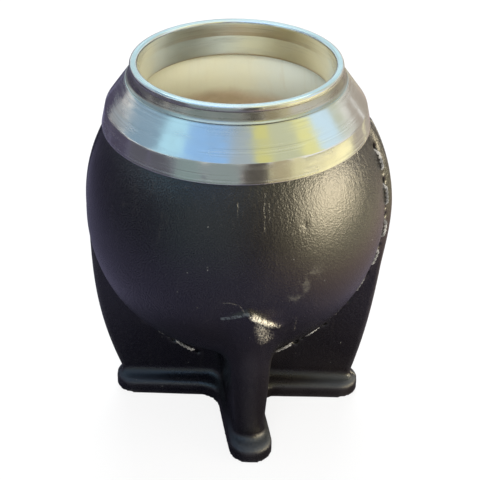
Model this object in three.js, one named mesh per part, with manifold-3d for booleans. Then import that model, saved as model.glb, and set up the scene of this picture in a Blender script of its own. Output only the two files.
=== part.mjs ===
// Mate gourd cup. A calabash gourd sits in a sewn cover of two moulded leather halves. Where the halves
// meet they run down as two flat wings, and a keel inside them makes a front and a rear leg, so that the cup
// stands on a cross of four feet. A nickel-silver ferrule of three soldered pieces finishes the mouth.
// Millimetres, +Z up, the front leg towards -Y, origin on the table under the gourd's axis.
import * as THREE from "three";
import { mergeVertices } from "three/addons/utils/BufferGeometryUtils.js";
import Module from "manifold-3d";

const wasm = await Module();
wasm.setup();

// Fits
const FIT = 0.3; // clearance left for glue between seated pieces
const SEAM_GAP = 0.3; // between the two leather halves

// Belly: a sphere below its widest level and a taller half ellipse above it
const bellyRadius = 43; // leather surface
const bellyHeight = 67; // widest level above the table
const crownRise = 50; // vertical semi-axis of the upper half
const leather = 1.6; // thickness of the cover

// Gourd
const gourdWall = 4.5;
const neckWall = 2.8; // wall at the cut mouth

// Ferrule
const mouthRadius = 26.9; // clear opening at the lip
const lipWidth = 2.2; // rounded bead round the mouth
const rimHeight = 5; // bead and neck together
const neckStep = 1.2; // how far the neck's foot stands out past the bead
const neckCove = 0.3; // how far its narrowest part lies inside the bead
const coneHeight = 8;
const coneRun = 5.8; // the cone widens by this much from the neck to its shoulder
const bandHeight = 5.5;
const bandFlare = 1.2; // the band's foot is this much wider than its shoulder
const skirtWall = 1.1;
const sleeveWall = 0.8;
const sleeveDepth = 5.8; // below the rim
const sleeveTaper = 0.7; // the sleeve closes in by this much
const coverTuck = 3.5; // the leather runs on under the band by this much

// Seam flange and wings
const rightFlange = 1.9; // stands proud of the belly at its widest level
const leftFlange = 0.6; // trimmed close
const flangeFade = 0.5; // the flange's ellipse is this much less tall than the belly's
const rightBulge = 22; // how far down the wing stays full before it draws in
const leftBulge = 30;
const wingDrop = 19; // height over the feet at which the wings lean most
const rightDraw = 3.5; // drawn in by this much there
const leftDraw = 1.5;
const rightWaist = 36.2; // axis to the wing's edge just above the feet
const leftWaist = 35.1;

// Feet: a cross of two bars with round ends
const footWidth = 12.6;
const footHeight = 5.6;
const footFillet = 5.5; // plan radius where the bars cross
const footRound = 1.3; // rounding of the leather over the feet's edges
const rightReach = 39; // axis to the end of a wing's foot
const leftReach = 37.3;
const legReach = 37.6; // axis to the end of a leg's foot
const legSkew = THREE.MathUtils.degToRad(10.8); // the leg bar crosses the wing bar this far off square
const soleThickness = 1;
const coverLift = 0.4; // the leather's lower edge stays this far off the table

// Legs
const legThickness = 8.6; // over the leather, just above the feet
const legRootThickness = 11.5; // where it meets the belly
const legSetBack = 5.2; // the leg's edge behind its foot's end, just above the feet
const legBlend = 6; // depth over which the leather runs from the belly into the leg
const legRoot = 8; // the leg's sloping edge touches the belly this far below the widest level
const legRootRun = 12; // height over which it sinks into the belly there

// Stitches
const threadRadius = 0.35;
const threadPlay = 0.2; // round the thread in its holes
const seamDrift = 13.5; // how far the seam line has left the belly when it is straight under it
const seamStart = 5.9; // first hole of the right seam, below the band
const leftSeamTop = THREE.MathUtils.degToRad(-15); // first hole of the left seam, where its wing is wide enough
const seamBottom = THREE.MathUtils.degToRad(-79); // last hole of both
const stitchLength = 5.5;

// Facets
const ROUND = 40;
const THREAD_SIDES = 5;
const HOLE_SIDES = 6;

// Derived radii of the ferrule, and the height above the widest level at which its band fits the belly
const lipRadius = mouthRadius + lipWidth;
const neckRadius = lipRadius + neckStep;
const shoulderRadius = neckRadius + coneRun;
const bandRadius = shoulderRadius + bandFlare;
const collarSeat = crownHeightAt(bandRadius - skirtWall - FIT, 0);

// Derived levels, all above the table
const bandFoot = bellyHeight + collarSeat;
const shoulder = bandFoot + bandHeight;
const rimSeat = shoulder + coneHeight;
const lipTop = rimSeat + rimHeight;
const coverTop = bandFoot + coverTuck;
const sleeveFoot = rimSeat - sleeveDepth;
const boardTop = footHeight - leather - FIT;

// Derived sizes of the gourd
const gourdInset = leather + FIT;
const gourdMouth = mouthRadius + sleeveWall + FIT;
const gourdNeck = gourdMouth + neckWall;
const skirtOverNeck = gourdNeck + 2 * FIT + skirtWall;
const gourdTop = shoulder + (coneHeight * (shoulderRadius - skirtOverNeck)) / coneRun;

// Derived stitching
const holeRadius = threadRadius + threadPlay;
const stitchOffset = threadRadius + FIT; // seam line outside the belly at its widest level
const rightSeamTop = Math.asin((collarSeat - seamStart) / (crownRise + stitchOffset));

// Radius of the belly, drawn in by inset, at a height above its widest level.
function bellyAt(height, inset = 0) {
  const rise = (height > 0 ? crownRise : bellyRadius) - inset;
  return (bellyRadius - inset) * Math.sqrt(1 - (height / rise) ** 2);
}

// Height above the widest level at which the belly, drawn in by inset, has a radius.
function crownHeightAt(radius, inset) {
  return (crownRise - inset) * Math.sqrt(1 - (radius / (bellyRadius - inset)) ** 2);
}

// Points of the belly's outline from its lowest point up to a height above the widest level.
function bellyOutline(inset, top) {
  const steps = 12;
  const end = Math.asin(top / (crownRise - inset));
  return Array.from({ length: steps + 1 }, (_, i) => {
    const angle = -Math.PI / 2 + ((end + Math.PI / 2) * i) / steps;
    const rise = (angle > 0 ? crownRise : bellyRadius) - inset;
    const radius = i === 0 ? 0 : (bellyRadius - inset) * Math.cos(angle);
    return new THREE.Vector2(radius, bellyHeight + rise * Math.sin(angle));
  });
}

// A geometry as a closed solid for joining and cutting.
function solid(geometry) {
  const bare = new THREE.BufferGeometry().setAttribute("position", geometry.getAttribute("position"));
  bare.setIndex(geometry.index);
  const merged = mergeVertices(bare, 1e-4);
  const corners = merged.index.array;
  const kept = [];
  for (let i = 0; i < corners.length; i += 3) {
    const [a, b, c] = corners.slice(i, i + 3);
    if (a !== b && b !== c && c !== a) kept.push(a, b, c);
  }
  return new wasm.Manifold(
    new wasm.Mesh({
      numProp: 3,
      vertProperties: new Float32Array(merged.getAttribute("position").array),
      triVerts: new Uint32Array(kept),
    }),
  );
}

// A solid back as a geometry.
function geometryOf(body) {
  const mesh = body.getMesh();
  const geometry = new THREE.BufferGeometry();
  geometry.setAttribute("position", new THREE.BufferAttribute(mesh.vertProperties, 3));
  geometry.setIndex(new THREE.BufferAttribute(mesh.triVerts, 1));
  return geometry;
}

// A solid turned round the Z axis. Its outline of radius and height runs counter-clockwise.
function turned(outline) {
  return solid(new THREE.LatheGeometry(outline, ROUND).rotateX(Math.PI / 2));
}

// A closed ring turned round the Z axis from [radius, height] corners, counter-clockwise.
function turnedRing(corners) {
  const outline = corners.map(([radius, height]) => new THREE.Vector2(radius, height));
  return turned([...outline, outline[0]]);
}

// Rings of points skinned into one closed body, with flat ends.
function loft(rings) {
  const sides = rings[0].length;
  const points = rings.flat();
  const last = (rings.length - 1) * sides;
  const index = [];
  for (let r = 0; r < last; r += sides)
    for (let i = 0; i < sides; i++) {
      const j = (i + 1) % sides;
      index.push(r + i, r + j, r + sides + j, r + i, r + sides + j, r + sides + i);
    }
  for (let i = 1; i < sides - 1; i++) {
    index.push(0, i + 1, i);
    index.push(last, last + i, last + i + 1);
  }
  return new THREE.BufferGeometry().setFromPoints(points).setIndex(index);
}

// A flat outline in X and Y, raised from one level to another.
function raised(shape, bottom, top, bevel = 0) {
  const settings = { depth: top - bottom - 2 * bevel, curveSegments: 6, bevelEnabled: bevel > 0 };
  Object.assign(settings, { bevelSize: bevel, bevelOffset: -bevel, bevelThickness: bevel, bevelSegments: 2 });
  return solid(new THREE.ExtrudeGeometry(shape, settings).translate(0, 0, bottom + bevel));
}

// Plan of the feet: four arms with round ends, filleted where they meet, all drawn in by inset.
function crossPlan(inset) {
  const half = footWidth / 2 - inset;
  const fillet = footFillet + inset;
  const arms = [0, Math.PI / 2 + legSkew, Math.PI, (3 * Math.PI) / 2 + legSkew];
  const shape = new THREE.Shape();
  arms.forEach((angle, i) => {
    const reach = [rightReach, legReach, leftReach, legReach][i] - inset - half;
    const next = arms[(i + 1) % 4] + (i === 3 ? 2 * Math.PI : 0);
    const corner = (half + fillet) / Math.sin((next - angle) / 2);
    const middle = (angle + next) / 2;
    const from = angle - Math.PI / 2;
    const to = next - (3 * Math.PI) / 2;
    shape.absarc(reach * Math.cos(angle), reach * Math.sin(angle), half, from, from + Math.PI, false);
    shape.absarc(corner * Math.cos(middle), corner * Math.sin(middle), fillet, from, to, true);
  });
  return shape;
}

// Ferrule

// The rim: a rounded bead over a coved neck.
function ferruleRim() {
  const bead = lipWidth / 2;
  const outline = new THREE.Shape();
  const throat = lipRadius - neckCove;
  outline.moveTo(mouthRadius, rimSeat);
  outline.lineTo(neckRadius, rimSeat);
  outline.quadraticCurveTo(throat, rimSeat + neckStep, throat, lipTop - lipWidth + neckCove);
  outline.quadraticCurveTo(lipRadius, lipTop - lipWidth + neckCove, lipRadius, lipTop - bead);
  outline.absarc(mouthRadius + bead, lipTop - bead, bead, 0, Math.PI, false);
  return turned([...outline.getPoints(3), new THREE.Vector2(mouthRadius, rimSeat)]);
}

// The skirt: a spun cone with a band at its foot. Its wall is measured square to the axis.
function ferruleSkirt() {
  return turnedRing([
    [bandRadius - skirtWall, bandFoot],
    [bandRadius, bandFoot],
    [shoulderRadius, shoulder],
    [neckRadius, rimSeat],
    [neckRadius - skirtWall, rimSeat],
    [shoulderRadius - skirtWall, shoulder],
  ]);
}

// The sleeve: a thin tube that lines the gourd's mouth below the rim.
function ferruleSleeve() {
  return turnedRing([
    [mouthRadius - sleeveTaper, sleeveFoot],
    [mouthRadius - sleeveTaper + sleeveWall, sleeveFoot],
    [mouthRadius + sleeveWall, rimSeat],
    [mouthRadius, rimSeat],
  ]);
}

// Inside radius of the skirt at a level.
function skirtInside(level) {
  const { mapLinear } = THREE.MathUtils;
  if (level < shoulder) return mapLinear(level, bandFoot, shoulder, bandRadius, shoulderRadius) - skirtWall;
  return mapLinear(level, shoulder, rimSeat, shoulderRadius, neckRadius) - skirtWall;
}

// The bedding: the ring of set glue between the skirt, the gourd's neck and the cover's upper edge.
function ferruleBedding() {
  const foot = coverTop + FIT;
  const top = (gourdTop + rimSeat) / 2;
  const inside = Math.max(bellyAt(foot - bellyHeight, gourdInset), gourdNeck) + FIT;
  const levels = [foot, shoulder, top].filter((level) => level >= foot);
  return turnedRing([
    [inside, foot],
    ...levels.map((level) => [skirtInside(level) - FIT, level]),
    [gourdMouth, top],
    [gourdMouth, gourdTop + FIT],
    [gourdNeck + FIT, gourdTop + FIT],
  ]);
}

// Gourd: a hollow shell with a straight neck, open at the top.
function gourd() {
  const neckFoot = crownHeightAt(gourdNeck, gourdInset);
  const throat = crownHeightAt(gourdMouth, gourdInset + gourdWall);
  const outside = bellyOutline(gourdInset, neckFoot);
  const inside = bellyOutline(gourdInset + gourdWall, throat).reverse();
  const lip = [new THREE.Vector2(gourdNeck, gourdTop), new THREE.Vector2(gourdMouth, gourdTop)];
  return turned([...outside, ...lip, ...inside]);
}

// Cover

// The whole belly as a solid, drawn in by inset, up to a level.
function belly(inset, top) {
  return turned([...bellyOutline(inset, top - bellyHeight), new THREE.Vector2(0, top)]);
}

// The sheet that makes the wing and the seam flange on one side of the cup: side 1 right, -1 left.
function wing(side) {
  const onRight = side > 0;
  const flange = bellyRadius + (onRight ? rightFlange : leftFlange);
  const bulge = onRight ? rightBulge : leftBulge;
  const lean = flange - (onRight ? rightDraw : leftDraw);
  const waistWidth = onRight ? rightWaist : leftWaist;
  const rise = crownRise - flangeFade;
  const top = collarSeat - FIT;
  const waist = footHeight - bellyHeight;
  const outline = new THREE.Shape();
  outline.moveTo(0, waist - leather);
  outline.lineTo(waistWidth, waist - leather);
  outline.lineTo(waistWidth, waist);
  outline.bezierCurveTo(lean, waist + wingDrop, flange, -bulge, flange, 0);
  outline.absellipse(0, 0, flange, rise, 0, Math.asin(top / rise), false, 0);
  outline.lineTo(0, top);
  const half = SEAM_GAP / 2 + leather;
  const settings = { depth: 2 * half, curveSegments: 10, bevelEnabled: false };
  const sheet = new THREE.ExtrudeGeometry(outline, settings);
  const body = solid(sheet.rotateX(Math.PI / 2).translate(0, half, bellyHeight));
  return onRight ? body : body.mirror([1, 0, 0]);
}

// How far up a leg a height lies: 0 just above the feet, 1 where its edge touches the belly.
function legShare(height) {
  return THREE.MathUtils.mapLinear(height, footHeight - bellyHeight, -legRoot, 0, 1);
}

// Distance from the axis to the leg's outer edge. It slopes straight up to the belly and sinks into it there.
function legEdge(height) {
  const { lerp, smoothstep } = THREE.MathUtils;
  const sunk = smoothstep(height, -legRoot - legRootRun / 2, -legRoot + legRootRun / 2);
  const slope = lerp(legReach - legSetBack, bellyAt(-legRoot), legShare(height));
  return (height > -legRoot ? bellyAt(height) : slope) - legBlend * sunk;
}

// Distance from the axis to the leg's surface, drawn in by inset, along a ray at an angle to the leg.
function legAt(angle, height, inset) {
  const share = Math.min(legShare(height), 1);
  const half = THREE.MathUtils.lerp(legThickness, legRootThickness, share) / 2 - inset;
  const centre = legEdge(height) - inset - half;
  const sine = Math.abs(Math.sin(angle));
  const cosine = Math.abs(Math.cos(angle));
  if (half * cosine <= centre * sine) return half / sine;
  return centre * cosine + Math.sqrt(half ** 2 - (centre * sine) ** 2);
}

// The larger of two radii, rounded over where they are close.
function blended(a, b) {
  const near = Math.max(legBlend - Math.abs(a - b), 0) / legBlend;
  return Math.max(a, b) + (near ** 2 * legBlend) / 4;
}

// Levels through the cover: up the legs from a level, then up the belly.
function coverLevels(inset, bottom, top) {
  const legSteps = 3;
  const outline = bellyOutline(inset, top - bellyHeight).map((point) => point.y);
  const run = (outline[0] - bottom) / legSteps;
  const rising = Array.from({ length: legSteps }, (_, i) => bottom + i * run);
  return [...rising, ...outline];
}

// Rings of points round the axis, close together along the legs, from a radius for each angle and level.
function legRings(levels, radiusAt) {
  const quarter = 13;
  const turns = Array.from({ length: 4 * quarter }, (_, i) => {
    const step = i % (2 * quarter);
    const near = (Math.min(step, 2 * quarter - step) / quarter) ** 2 / 2;
    return Math.PI * ((step < quarter ? near : 1 - near) + Math.floor(i / (2 * quarter)));
  });
  return levels.map((level) =>
    turns.map((angle) => {
      const radius = radiusAt(angle, level - bellyHeight);
      const turned = angle - Math.PI / 2 + legSkew;
      return new THREE.Vector3(radius * Math.cos(turned), radius * Math.sin(turned), level);
    }),
  );
}

// The belly and both legs as one moulded form, drawn in by inset.
function moulded(inset, bottom, top) {
  const rings = legRings(coverLevels(inset, bottom, top), (angle, height) => {
    const legRadius = legAt(angle, height, inset);
    return height > inset - bellyRadius ? blended(legRadius, bellyAt(height, inset)) : legRadius;
  });
  return solid(loft(rings));
}

// A block that holds everything on one side of the seam: side -1 in front, 1 behind.
function seamSide(side) {
  const size = 4 * bellyRadius + lipTop;
  return solid(new THREE.BoxGeometry(size, size, size).translate(0, side * (size / 2 + SEAM_GAP / 2), 0));
}

// Half of the cover: belly, wing, leg and foot skins in one moulded piece with its stitch holes.
function cover(side) {
  const feet = raised(crossPlan(0), coverLift, footHeight, footRound);
  const sheet = wing(1).add(wing(-1));
  const skin = moulded(0, coverLift + footRound, coverTop).add(sheet).add(feet);
  const pocket = raised(crossPlan(leather), 0, footHeight - leather);
  const neckHole = new THREE.CylinderGeometry(gourdNeck + FIT, gourdNeck + FIT, bellyHeight, ROUND);
  const throat = solid(neckHole.rotateX(Math.PI / 2).translate(0, 0, 1.5 * bellyHeight));
  const hollow = moulded(leather, 0, coverTop + leather).add(pocket).add(throat);
  return skin.intersect(seamSide(side)).subtract(hollow).subtract(stitchHoles());
}

// Base

const baseBoard = () => raised(crossPlan(leather + FIT), soleThickness, boardTop);
const sole = () => raised(crossPlan(leather + FIT), 0, soleThickness);

// The keel: a board on edge inside both legs, saddled to the gourd.
function keelCore() {
  const inset = leather + FIT;
  const levels = [boardTop, bellyHeight - legRoot - legRootRun];
  const bar = solid(loft(legRings(levels, (angle, height) => legAt(angle, height, inset))));
  return bar.subtract(belly(leather, coverTop));
}

// Seams

// The line of the stitches on one side of the cup, down to the feet.
class SeamLine extends THREE.Curve {
  constructor(side) {
    super();
    this.side = side;
    this.start = side > 0 ? rightSeamTop : leftSeamTop;
  }
  getPoint(share, target = new THREE.Vector3()) {
    const angle = THREE.MathUtils.lerp(this.start, seamBottom, share);
    const drift = angle < 0 ? seamDrift * (angle / (Math.PI / 2)) ** 2 : 0;
    const across = (bellyRadius + stitchOffset + drift) * Math.cos(angle);
    const rise = angle > 0 ? crownRise + stitchOffset : bellyRadius + stitchOffset + drift;
    return target.set(this.side * across, 0, bellyHeight + rise * Math.sin(angle));
  }
}

// Evenly spaced holes along a seam.
function holesOf(side) {
  const line = new SeamLine(side);
  return line.getSpacedPoints(Math.round(line.getLength() / stitchLength));
}

// Every stitch hole, square through both halves of the cover.
function stitchHoles() {
  const length = 4 * (leather + SEAM_GAP);
  const holes = [...holesOf(-1), ...holesOf(1)].map((point) => {
    const punch = new THREE.CylinderGeometry(holeRadius, holeRadius, length, HOLE_SIDES);
    return solid(punch.translate(point.x, point.y, point.z));
  });
  return wasm.Manifold.union(holes);
}

// One running stitch: the thread passes through each hole and lies on the front and the back by turns.
function seamThread(side) {
  const through = new THREE.Vector3(0, 1, 0);
  const surface = SEAM_GAP / 2 + leather;
  const bend = threadRadius + FIT;
  const holes = holesOf(side);
  const rings = [];
  function ring(centre, along, across) {
    const third = new THREE.Vector3().crossVectors(along, across);
    const points = Array.from({ length: THREAD_SIDES }, (_, i) => {
      const angle = (2 * Math.PI * i) / THREAD_SIDES;
      const offset = across.clone().multiplyScalar(Math.cos(angle)).addScaledVector(third, Math.sin(angle));
      return centre.clone().addScaledVector(offset, threadRadius);
    });
    rings.push(points);
  }
  for (let i = 0; i < holes.length - 1; i++) {
    const face = through.clone().multiplyScalar(i % 2 ? 1 : -1);
    const ahead = holes[i + 1].clone().sub(holes[i]).normalize();
    const across = new THREE.Vector3().crossVectors(through, ahead);
    const corner = (hole, way, turn) => {
      const sine = Math.sin((turn * Math.PI) / 2);
      const cosine = Math.cos((turn * Math.PI) / 2);
      const centre = hole.clone().addScaledVector(face, surface + bend * sine);
      centre.addScaledVector(ahead, way * bend * (1 - cosine));
      const along = face.clone().multiplyScalar(way * cosine).addScaledVector(ahead, sine);
      ring(centre, along, across);
    };
    const tail = (hole) => hole.clone().addScaledVector(face, -surface - bend);
    if (i === 0) ring(tail(holes[0]), face, across);
    [0, 0.5, 1].forEach((turn) => corner(holes[i], 1, turn));
    [1, 0.5, 0].forEach((turn) => corner(holes[i + 1], -1, turn));
    if (i === holes.length - 2) ring(tail(holes[i + 1]), face.clone().negate(), across);
  }
  return solid(loft(rings));
}

// Assembly

const finishes = {
  nickelSilver: { color: 0xc9c7bd, roughness: 0.28, metalness: 1 },
  gourdShell: { color: 0xd8c79a, roughness: 0.75, metalness: 0 },
  blackLeather: { color: 0x16151a, roughness: 0.5, metalness: 0 },
  waxedThread: { color: 0x9a958a, roughness: 0.6, metalness: 0 },
  plywood: { color: 0xb48a58, roughness: 0.8, metalness: 0 },
  setGlue: { color: 0xcfc8b4, roughness: 0.7, metalness: 0 },
  soleLeather: { color: 0x1e1b1a, roughness: 0.85, metalness: 0 },
};

const pieces = [
  ["ferrule_rim", ferruleRim(), "nickelSilver"],
  ["ferrule_skirt", ferruleSkirt(), "nickelSilver"],
  ["ferrule_sleeve", ferruleSleeve(), "nickelSilver"],
  ["ferrule_bedding", ferruleBedding(), "setGlue"],
  ["gourd_shell", gourd(), "gourdShell"],
  ["front_cover", cover(-1), "blackLeather"],
  ["back_cover", cover(1), "blackLeather"],
  ["left_seam_thread", seamThread(-1), "waxedThread"],
  ["right_seam_thread", seamThread(1), "waxedThread"],
  ["keel_core", keelCore(), "plywood"],
  ["base_board", baseBoard(), "plywood"],
  ["sole", sole(), "soleLeather"],
];

const cup = new THREE.Group();
cup.name = "mate_gourd_cup";
for (const [name, body, finish] of pieces) {
  const mesh = new THREE.Mesh(geometryOf(body), new THREE.MeshStandardMaterial(finishes[finish]));
  mesh.name = name;
  cup.add(mesh);
}

export default cup;
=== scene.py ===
# Looks of a mate gourd cup: a calabash in a sewn black leather cover that stands on a cross of four feet,
# with a nickel-silver ferrule round its mouth. Metres, +Z up, the front leg towards -Y, in the frame of the
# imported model.
import math

import bpy
import numpy as np
import openvdb
from mathutils import Matrix, Vector

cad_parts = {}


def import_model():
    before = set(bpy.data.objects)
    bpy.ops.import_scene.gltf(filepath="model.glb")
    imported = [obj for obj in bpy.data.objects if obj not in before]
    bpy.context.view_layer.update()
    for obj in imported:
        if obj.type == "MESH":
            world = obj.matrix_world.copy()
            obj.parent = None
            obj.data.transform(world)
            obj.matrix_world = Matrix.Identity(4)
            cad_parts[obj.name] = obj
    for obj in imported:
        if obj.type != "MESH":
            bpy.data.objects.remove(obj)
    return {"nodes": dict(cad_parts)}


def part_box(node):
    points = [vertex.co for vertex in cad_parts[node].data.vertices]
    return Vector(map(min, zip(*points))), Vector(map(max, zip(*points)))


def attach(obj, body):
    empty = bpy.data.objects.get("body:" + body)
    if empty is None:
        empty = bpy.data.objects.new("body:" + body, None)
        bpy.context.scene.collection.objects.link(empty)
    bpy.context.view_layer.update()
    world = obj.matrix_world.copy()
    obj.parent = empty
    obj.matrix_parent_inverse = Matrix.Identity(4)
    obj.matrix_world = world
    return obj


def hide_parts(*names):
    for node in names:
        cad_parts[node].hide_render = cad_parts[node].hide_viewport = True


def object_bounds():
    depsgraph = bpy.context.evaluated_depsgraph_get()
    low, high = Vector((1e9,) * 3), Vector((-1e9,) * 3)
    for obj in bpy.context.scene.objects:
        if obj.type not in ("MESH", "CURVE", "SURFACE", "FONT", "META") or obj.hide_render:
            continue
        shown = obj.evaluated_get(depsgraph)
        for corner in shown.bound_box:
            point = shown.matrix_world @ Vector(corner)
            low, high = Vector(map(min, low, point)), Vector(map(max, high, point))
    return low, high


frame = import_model()
cad_low, cad_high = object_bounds()

MM = 0.001
TURN = 2 * math.pi

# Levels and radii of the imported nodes
rim_low, rim_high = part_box("ferrule_rim")
skirt_low, skirt_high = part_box("ferrule_skirt")
sleeve_low, sleeve_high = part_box("ferrule_sleeve")
gourd_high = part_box("gourd_shell")[1]
cover_low, cover_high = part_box("front_cover")

# Fits
FIT = 0.3 * MM
SEAM_GAP = 0.3 * MM
LEATHER = 1.6 * MM

# Belly: a sphere below its widest level, a taller half ellipsoid above it
BELLY_RADIUS = 43 * MM
BELLY_LEVEL = 67 * MM
CROWN_RISE = 50 * MM

# Seam flange and wings, first right and then left of the cup
FLANGE = (1.35 * MM, 0.1 * MM)
FLANGE_FADE = 0.5 * MM
WING_BULGE = (22 * MM, 30 * MM)
WING_DROP = 19 * MM
WING_DRAW = (3.5 * MM, 1.3 * MM)
WING_WAIST = (36.2 * MM, 34.8 * MM)
SHEET_HALF = SEAM_GAP / 2 + LEATHER
SHEET_ROUND = 0.8 * MM

# Feet
FOOT_WIDTH = 12.6 * MM
FOOT_HEIGHT = 5.6 * MM
FOOT_ROUND = 1.4 * MM
FOOT_SLOPE = 0.2
RIGHT_REACH = 39 * MM
LEFT_REACH = 37.3 * MM
LEG_REACH = 37.6 * MM
LEG_SKEW = math.radians(10.8)
LEG_WAY = (math.sin(LEG_SKEW), -math.cos(LEG_SKEW))

# Legs
LEG_THICKNESS = 8.6 * MM
LEG_ROOT_THICKNESS = 14.5 * MM
LEG_LEAN = 1.8 * MM
LEG_SET_BACK = 5.2 * MM
LEG_ROOT = 8 * MM
LEG_ROOT_RUN = 7 * MM
LEG_WAIST = FOOT_HEIGHT - BELLY_LEVEL

# How far neighbouring forms of the leather run into each other
CREASE_RUN = (5 * MM, 1.6 * MM)
LEG_RUN = 5 * MM
FOOT_RUN = 2.6 * MM
CROSS_RUN = 6.6 * MM
EDGE_RUN = 0.6 * MM
HOLE_RUN = 0.6 * MM
UNEVENNESS = 0.14 * MM

# Stitches
THREAD_RADIUS = 0.5 * MM
STITCH_PITCH = 10.9 * MM
FRONT_STITCH = 7.6 * MM
SEAM_DRIFT = 15 * MM  # the seam's distance from the belly, straight below it
SEAM_START = 4.3 * MM  # below the band
LEFT_SEAM_TOP = math.radians(-15)
SEAM_BOTTOM = math.radians(-79)
SEAM_REACH = 14 * MM  # the cover is thinner than this on each side along the seams
SEAM_POINTS = 300
TOP_HOLE = 0.95 * MM
LOW_HOLE = 0.5 * MM
HOLE_SHIFT = 0.6 * MM  # from the stitch's end to its hole's middle
HOLE_DEPTH = 3 * MM
HOLE_ZONE = 9 * MM  # the holes lie closer than this to the seams' plane

# Marks on the front, as places across the cup and above its widest level: the fold over the front leg, the
# rubbed patch below it, a smear and a dent
FRONT_DEPTH = 20 * MM  # the front lies further out than this
FOLD_PEAK = (4.6 * MM, -8.4 * MM)
FOLD_RIGHT = (13.2 * MM, -15.2 * MM)
FOLD_LEFT = (-2.2 * MM, -10.8 * MM)
FOLD_HEIGHT = 0.7 * MM
FOLD_WIDTH = 1.0 * MM
PATCH_HIGH = (8.2 * MM, -13.5 * MM)
PATCH_LOW = (9.4 * MM, -19 * MM)
SMEAR_LOW = (17.4 * MM, -4.6 * MM)
SMEAR_HIGH = (22.2 * MM, 2 * MM)
DENT = (19.1 * MM, 15.5 * MM)
DENT_RADIUS = 0.8 * MM
DENT_DEPTH = 0.2 * MM

# Ferrule
MOUTH_RADIUS = 26.9 * MM
LIP_WIDTH = 2.2 * MM
LIP_SINK = 0.4 * MM  # the bead lies this much lower than the solid's
BEAD_DEPTH = 1.6 * MM
BEAD_ROUND = 1.05 * MM
NECK_STEP = 1.2 * MM
NECK_COVE = 0.15 * MM
NECK_FLARE = 0.6 * MM
CONE_RUN = 5.8 * MM
CONE_HEIGHT = 8 * MM
SKIRT_WALL = 1.1 * MM
SLEEVE_WALL = 0.8 * MM
SLEEVE_TAPER = 0.7 * MM
METAL_EDGE = 0.25 * MM

# Gourd
GOURD_WALL = 4.5 * MM
NECK_WALL = 2.8 * MM
GOURD_UNEVENNESS = 0.12 * MM

# Fineness
LEATHER_VOXEL = 0.66 * MM
AROUND = 192
OUTLINE_STEP = 0.5 * MM


# Node trees


def between(operation):
    """A method that adds a Math node between a wire and another value."""
    return lambda wire, other: wire.math(operation, wire, other)


class Wire:
    """An output socket of a node tree. Arithmetic on wires adds Math nodes to their tree."""

    def __init__(self, socket):
        self.socket = socket

    def node(self, kind, settings=None, inputs=None, output=0):
        """A new node in the same tree: its settings first, then its inputs. Gives one output as a wire."""
        tree = self.socket.id_data
        made = tree.nodes.new(kind)
        for name, value in (settings or {}).items():
            setattr(made, name, value)
        for name, value in (inputs or {}).items():
            if isinstance(value, Wire):
                tree.links.new(value.socket, made.inputs[name])
            else:
                made.inputs[name].default_value = value
        return Wire(made.outputs[output])

    def math(self, operation, *values):
        return self.node("ShaderNodeMath", {"operation": operation}, dict(enumerate(values)))

    __add__ = __radd__ = between("ADD")
    __sub__ = between("SUBTRACT")
    __mul__ = __rmul__ = between("MULTIPLY")
    __truediv__ = between("DIVIDE")
    __pow__ = between("POWER")
    __mod__ = between("MODULO")

    def __rsub__(self, other):
        return self.math("SUBTRACT", other, self)

    def __abs__(self):
        return self.math("ABSOLUTE", self)

    def part(self, axis):
        """One of a vector's three numbers."""
        return self.node("ShaderNodeSeparateXYZ", inputs={0: self}, output=axis)

    def smooth(self, low, high):
        """0 below low, 1 above high, and an S-curve between."""
        settings = {"interpolation_type": "SMOOTHSTEP"}
        return self.node("ShaderNodeMapRange", settings, {"Value": self, "From Min": low, "From Max": high})

    def vector(self, operation, *values, output="Vector"):
        """Vector maths on some values."""
        return self.node("ShaderNodeVectorMath", {"operation": operation}, dict(enumerate(values)), output)

    def combined(self, x=0.0, y=0.0, z=0.0):
        """A vector of three numbers."""
        return self.node("ShaderNodeCombineXYZ", inputs={0: x, 1: y, 2: z})

    def stretch(self, *scales):
        """A vector with each of its numbers scaled."""
        return self.vector("MULTIPLY", self, scales)

    def noise(self, scale, detail=2.0, roughness=0.5):
        """Cloudy noise at a place in space."""
        inputs = {"Vector": self, "Scale": scale, "Detail": detail, "Roughness": roughness}
        return self.node("ShaderNodeTexNoise", inputs=inputs)

    def rings(self, scale, detail=2.0):
        """Noise along a line."""
        inputs = {"W": self, "Scale": scale, "Detail": detail}
        return self.node("ShaderNodeTexNoise", {"noise_dimensions": "1D"}, inputs)

    def cells(self, scale, feature="F1", output="Distance"):
        """Pebbles: the distance to the nearest cell's middle or edge, or a random colour for each cell."""
        inputs = {"Vector": self, "Scale": scale}
        return self.node("ShaderNodeTexVoronoi", {"feature": feature}, inputs, output)

    def attribute(self, name):
        """A number that the mesh carries at its points."""
        return self.node("ShaderNodeAttribute", {"attribute_name": name}, output="Fac")

    def blend(self, first, second):
        """A colour that goes from first to second as this wire goes from 0 to 1."""
        settings = {"data_type": "RGBA"}
        return self.node("ShaderNodeMix", settings, {0: self, 6: first, 7: second}, output=2)


def rgb(red, green, blue):
    return (red, green, blue, 1.0)


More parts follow.
